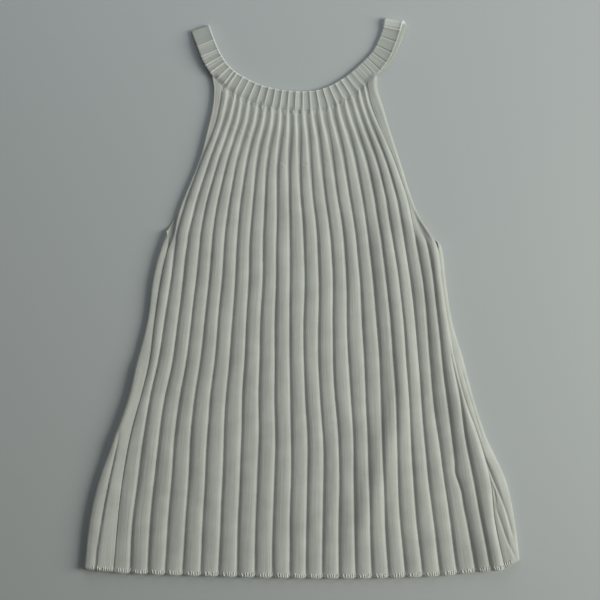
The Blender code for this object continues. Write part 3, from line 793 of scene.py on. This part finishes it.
def make_hem_stitches():
    points, faces = [], []
    jitter = np.random.default_rng(7)
    columns = len(RIB_STEPS)
    leg_columns = np.interp(HEM_LEGS, np.append(RIB_STEPS, 1.0), range(columns + 1))
    legs = [(front_surface, line * columns + column, place)
            for line in range(LAST_LINE) for place, column in zip(HEM_LEGS, leg_columns)]
    legs += [(back_surface, column, UPRIGHT_LEG) for column in np.array(STRIP_LEGS) % back_surface.shape[1]]
    turns = np.linspace(0.0, 2.0 * math.pi, LEG_SIDES, endpoint=False)
    around = np.stack([np.cos(turns), 0.0 * turns, np.sin(turns)], axis=-1)
    for surface, column, place in legs:
        column = max(0.0, column + jitter.uniform(-0.2, 0.2))
        lean = (place - UPRIGHT_LEG) * LEG_LEAN + jitter.uniform(-0.35, 0.35)
        length = LEG_LENGTH * jitter.uniform(0.75, 1.1)
        foot = surface[-1, int(column), 1] + LEG_START
        middle = on_panel(surface, column, foot + length * LEG_PARTS)
        middle[:, 0] += lean * LEG_PARTS
        middle[:, 2] += LEG_RISES
        start = len(points)
        for point, shape in zip(middle, LEG_SHAPE):
            points += list(point + LEG_RADIUS * shape * around)
        for ring in range(len(LEG_PARTS) - 1):
            for side in range(LEG_SIDES):
                after = (side + 1) % LEG_SIDES
                a, b = start + ring * LEG_SIDES, start + (ring + 1) * LEG_SIDES
                faces.append((a + side, b + side, b + after, a + after))
        faces.append(tuple(range(start, start + LEG_SIDES)))
        faces.append(tuple(reversed(range(len(points) - LEG_SIDES, len(points)))))
    return make_piece("hem_stitches", np.array(points), faces, np.full(len(points), LEG_PAINTED_HIGHLIGHT))


hem_stitches = make_hem_stitches()
hem_stitches.data.materials.append(body_knit)
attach(hem_stitches, "root")

# ------------------------------
# Neckband: one rib band knitted on round the neck of both panels. Thin sharp ridges run across it, with wide
# hollows between, and carry on into the body's ribs. It alone makes the two straps, and folds at their tops.
BAND_WALL = 1.7
FOLD_REACH = 2.6          # of the middle of the cloth beyond the strap's end, where it turns over
FOLD_RISE = 1.5           # half the height between the two layers there
BAND_SWELL = 0.3          # how much the upper layer stands above a plain wall
# Ridges of the band on each strap, as shares of the neckline; between them they meet the body's ribs.
LEFT_STRAP_RIDGES = (0.0, 0.057, 0.0995, 0.131, 0.159, 0.187, 0.2105)
RIGHT_STRAP_RIDGES = (0.800, 0.829, 0.861, 0.894, 0.936, 0.979, 1.0)
DOUBLE_RIDGES = (1, 2, 3)  # hollows with a second ridge in them
BAND_RIB_STEPS = np.array((0.0, 0.03, 0.07, 0.13, 0.2, 0.29, 0.39, 0.5, 0.61, 0.71, 0.8, 0.87, 0.93, 0.97))
LOWER_RIB_STEPS = np.array((0.0, 0.06, 0.18, 0.4, 0.6, 0.82, 0.94))
ACROSS_BAND = np.array((0.0, 0.02, 0.05, 0.09, 0.15, 0.25, 0.38, 0.5,
                        0.62, 0.72, 0.8, 0.87, 0.92, 0.96, 0.985, 1.0))
FOLD_TURNS = np.linspace(0.0, math.pi, 13)[:-1]
body_ridges = np.linspace(0.0, 1.0, FULL_RIBS + 1)
body_ridges = blend(FIRST_RIB_TOP, LAST_RIB_TOP, body_ridges) + 0.0052 * np.sin(math.pi * body_ridges) ** 0.7
ridges = np.concatenate([LEFT_STRAP_RIDGES, body_ridges, RIGHT_STRAP_RIDGES])
last_hollow = len(ridges) - 2
# Where a hollow is lowest, from ridge to ridge, and how high the ridges are, at some shares of the neckline.
LOWEST_SHARES, LOWEST_PLACES = (0.10, 0.16, 0.25, 0.36), (0.5, 0.2, 0.25, 0.5)
HEIGHT_SHARES = (0.0, LEFT_SHOULDER, 0.24, 0.74, RIGHT_SHOULDER, 1.0)
HEIGHTS = (0.4, 0.9, 0.95, 0.9, 0.3, 0.1)
RIDGE_LEVEL = 0.35        # share of a ridge's height that lies below the band's level
# A drawn stitch lies along each ridge: raised on the left strap, and sunk on the right one.
CORD_SHARES = (0.0, 0.16, 0.25, 0.70, 0.79, 1.0)
CORD_HEIGHTS = (1.0, 0.8, 0.3, 0.2, -0.8, -0.9)
NO_EDGE = 9.0             # distance at which an edge has no effect, for the side that is joined to the body
JOINT_SOFTNESS = 0.008    # share of the neckline over which a strap's outer edge comes to be joined
LOWER_HOLLOWS = 0.5       # depth of the hollows between the lower layer's ridges
TOOTH_SPACING = 2.8       # of the cast-off stitches along the outer edge
WALES_PER_HOLLOW = 5
BAND_WIDTH = 21.0
# Rise of each strap's upper layer over the lower one: distance from the fold, rise.
LEFT_STRAP_RISE = np.array(((0.0, 3.0), (18.0, 6.4), (50.0, 4.8), (75.0, 3.0)))
RIGHT_STRAP_RISE = np.array(((0.0, 3.0), (12.0, 2.3), (34.0, 1.95), (50.0, 2.1)))


def band_sections():
    """Each section of the loop: hollow it is in, place in that hollow, share of the neckline, and turn."""
    hollows = range(len(ridges) - 1)
    sections = [(hollow, step, blend(ridges[hollow], ridges[hollow + 1], step), 0.0)
                for hollow in hollows for step in BAND_RIB_STEPS]
    sections += [(last_hollow, 1.0, 1.0, turn) for turn in FOLD_TURNS]
    sections += [(hollow, step, blend(ridges[hollow], ridges[hollow + 1], step), math.pi)
                 for hollow in reversed(hollows) for step in 1.0 - LOWER_RIB_STEPS]
    sections += [(0, 0.0, 0.0, turn) for turn in math.pi - FOLD_TURNS]
    return sections


def strap_rise(share):
    left = curve(*LEFT_STRAP_RISE.T, share * neck_length)
    right = curve(*RIGHT_STRAP_RISE.T, (1.0 - share) * neck_length)
    return left if share < 0.5 else right


def ridge_shape(hollow, step, share):
    """Height from 0 to 1 in the hollow between two ridges. Those beside the folds have one ridge only."""
    if hollow == 0:
        return step ** 2
    if hollow == last_hollow:
        return (1.0 - step) ** 2
    lowest = np.interp(share, LOWEST_SHARES, LOWEST_PLACES)
    return ((step - lowest) / (lowest if step < lowest else 1.0 - lowest)) ** 2


def make_neckband():
    half = BAND_WALL / 2
    outside, inside, wales, painted_highlight = [], [], [], []
    for hollow, step, share, turn in band_sections():
        right_half = share > 0.5
        nx, ny = neck_outward(share)
        end = 1.0 if right_half else -1.0
        up_x, up_y = -ny * end, nx * end
        upper = (1.0 + math.cos(turn)) / 2
        turned_over = turn == math.pi
        on_fold = share in (0.0, 1.0)
        rise = (FOLD_RISE * 2.0 if on_fold else float(strap_rise(share))) * upper
        beyond = FOLD_REACH * math.sin(turn) if on_fold else 0.0
        joined = float(past(share, LEFT_SHOULDER, JOINT_SOFTNESS)
                       * going_down(share, RIGHT_SHOULDER, JOINT_SOFTNESS)) * upper
        width = float(band_width(share))
        distance = width * ACROSS_BAND
        to_outer = width - distance
        edge_reach = 1.3 + 1.2 * past(share, start=0.78, length=0.06) * (distance < width / 2)
        free_edge = np.minimum(distance, blend(to_outer, NO_EDGE, joined))
        rounding = rounded_edge(free_edge, edge_reach, thinnest=0.3)

        from_fold = (1.0 - share) * neck_length
        hollow_width = (ridges[hollow + 1] - ridges[hollow]) * neck_length
        from_left = step * hollow_width
        from_ridge = min(from_left if hollow > 0 else math.inf,
                         hollow_width - from_left if hollow < last_hollow else math.inf)
        cord = bump(from_ridge, size=1.0, place=0.0, reach=0.6) * np.interp(share, CORD_SHARES, CORD_HEIGHTS)
        ridge = ridge_shape(hollow, step, share)
        if hollow in DOUBLE_RIDGES:
            ridge = ridge + bump(from_left, size=1.2, place=2.6, reach=0.5)
        height = np.interp(share, HEIGHT_SHARES, HEIGHTS)
        reach = (half + BAND_SWELL * upper + height * (ridge - RIDGE_LEVEL) * (2.0 * upper - 1.0)) * rounding
        beads = bump(distance, size=0.2 if share > 0.7 else 0.5, place=1.0, reach=0.8)
        beads = beads + bump(to_outer, size=0.6, place=1.2, reach=1.0) * (1.0 - joined) * right_half
        hoist = 1.9 * past(share, start=0.80, length=0.08) * (distance / width) ** 2
        roll = 0.9 * (1.0 - past(from_fold, start=6.5, length=1.6)) * right_half
        reach = reach + (beads + cord + hoist + roll) * upper
        if turned_over:
            reach = (half - LOWER_HOLLOWS * (1.0 - ridge)) * rounding
        z = half + rise
        if joined > 0.0:
            joint = np.interp(share, front_top_shares, front_surface[0, :, 2]) - z
            reach = blend(reach, joint, past(ACROSS_BAND, start=0.74, length=0.26) * joined)

        teeth = np.sin(share * neck_length * 2.0 * math.pi / TOOTH_SPACING) * np.exp(-to_outer / 0.8)
        teeth = 0.3 * teeth * (1.0 - joined) * (turned_over or not right_half)
        x, y = band_point(share, distance + back_shift(share) * (1.0 - upper) + teeth)
        for points, toward in ((outside, reach), (inside, -half * rounding)):
            lift = beyond + math.sin(turn) * toward
            points.append(np.stack([x + up_x * lift, y + up_y * lift, z + math.cos(turn) * toward], axis=-1))
        wales.append((hollow + step) * WALES_PER_HOLLOW)
        # Painted highlight: a lighter tint on the cords, the second ridges, the right strap's fold band and
        # the band's inner rim.
        band_highlight = 0.9 * max(0.0, float(cord)) ** 0.7
        if hollow in DOUBLE_RIDGES:
            band_highlight = max(band_highlight, bump(from_left, size=0.6, place=2.6, reach=0.5))
        if right_half:
            band_highlight = max(band_highlight, 0.6 * (1.0 - past(from_fold, start=5.5, length=2.0)))
        rim = bump(distance, size=0.7, place=0.6, reach=0.9) * (share < 0.7)
        painted_highlight.append(np.maximum(band_highlight, rim) * upper)
    return cloth("neckband_knit", np.array(outside), np.array(inside), np.array(wales)[:, None],
                 ACROSS_BAND[None, :] * BAND_WIDTH / COURSE, ring=True, painted_highlight=np.array(painted_highlight))


band_knit = cotton_knit("ivory_cotton_neck_rib", "#CFD3CE", "#BEC1BC")
neckband_knit = make_neckband()
neckband_knit.data.materials.append(band_knit)
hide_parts("neckband")
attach(neckband_knit, "root")

# ------------------------------
# Table top: a pale, smooth painted board, so a faint cool grey with almost no gloss.
floor_mesh = bpy.data.meshes.new("floor")
floor_mesh.from_pydata([(-4, -4, 0), (4, -4, 0), (4, 4, 0), (-4, 4, 0)], [], [(0, 1, 2, 3)])
floor = bpy.data.objects.new("floor", floor_mesh)
bpy.context.scene.collection.objects.link(floor)
board = bpy.data.materials.new("pale_painted_board")
board.use_nodes = True
grain = add(board.node_tree, "TexNoise", {}, {"Scale": 3.0, "Detail": 2.0})
paint = add(board.node_tree, "ValToRGB", {}, {0: grain})
paint.color_ramp.elements[0].color = linear("#C8CDCF")
paint.color_ramp.elements[1].color = linear("#CCD1D3")
board_shader = board.node_tree.nodes["Principled BSDF"]
board.node_tree.links.new(paint.outputs[0], board_shader.inputs["Base Color"])
board_shader.inputs["Roughness"].default_value = 0.55
board_shader.inputs["Specular IOR Level"].default_value = 0.9
floor_mesh.materials.append(board)

# ------------------------------
# Light and camera: one large soft light on the right, a little up the garment, with a low even fill, and a
# camera that looks straight down.
scene = bpy.context.scene
scene.view_settings.view_transform = "Standard"


def hang(light, place):
    """Hang a light at a place, aimed at the middle of the garment."""
    lamp = bpy.data.objects.new(light.name, light)
    scene.collection.objects.link(lamp)
    lamp.location = place
    lamp.rotation_euler = (-lamp.location).to_track_quat("-Z", "Y").to_euler()


softbox = bpy.data.lights.new("softbox", "AREA")
softbox.shape = "RECTANGLE"
softbox.size = 1.0
softbox.size_y = 1.6
softbox.spread = math.radians(110.0)
softbox.energy = 15.8
softbox.color = (0.985, 1.0, 0.91)
hang(softbox, (1.94, -0.02, 1.19))
fill = bpy.data.lights.new("fill", "AREA")
fill.size = 1.2
fill.energy = 4.2
fill.color = (0.85, 0.94, 1.0)
hang(fill, (-0.08, 1.07, 0.72))
world = bpy.data.worlds.new("room")
world.use_nodes = True
world.node_tree.nodes["Background"].inputs["Color"].default_value = (1.0, 1.0, 0.93, 1.0)
world.node_tree.nodes["Background"].inputs["Strength"].default_value = 0.055
scene.world = world

FRAME_WIDTH = 0.66        # metres that the picture spans, at half the garment's height
HALF_HEIGHT = 0.004
camera = bpy.data.cameras.new("camera")
camera.lens = 85.0
camera.sensor_width = 36.0
camera_object = bpy.data.objects.new("camera", camera)
scene.collection.objects.link(camera_object)
camera_distance = FRAME_WIDTH * camera.lens / camera.sensor_width
camera_object.location = (-0.00275, -0.0022, camera_distance + HALF_HEIGHT)
scene.camera = camera_object
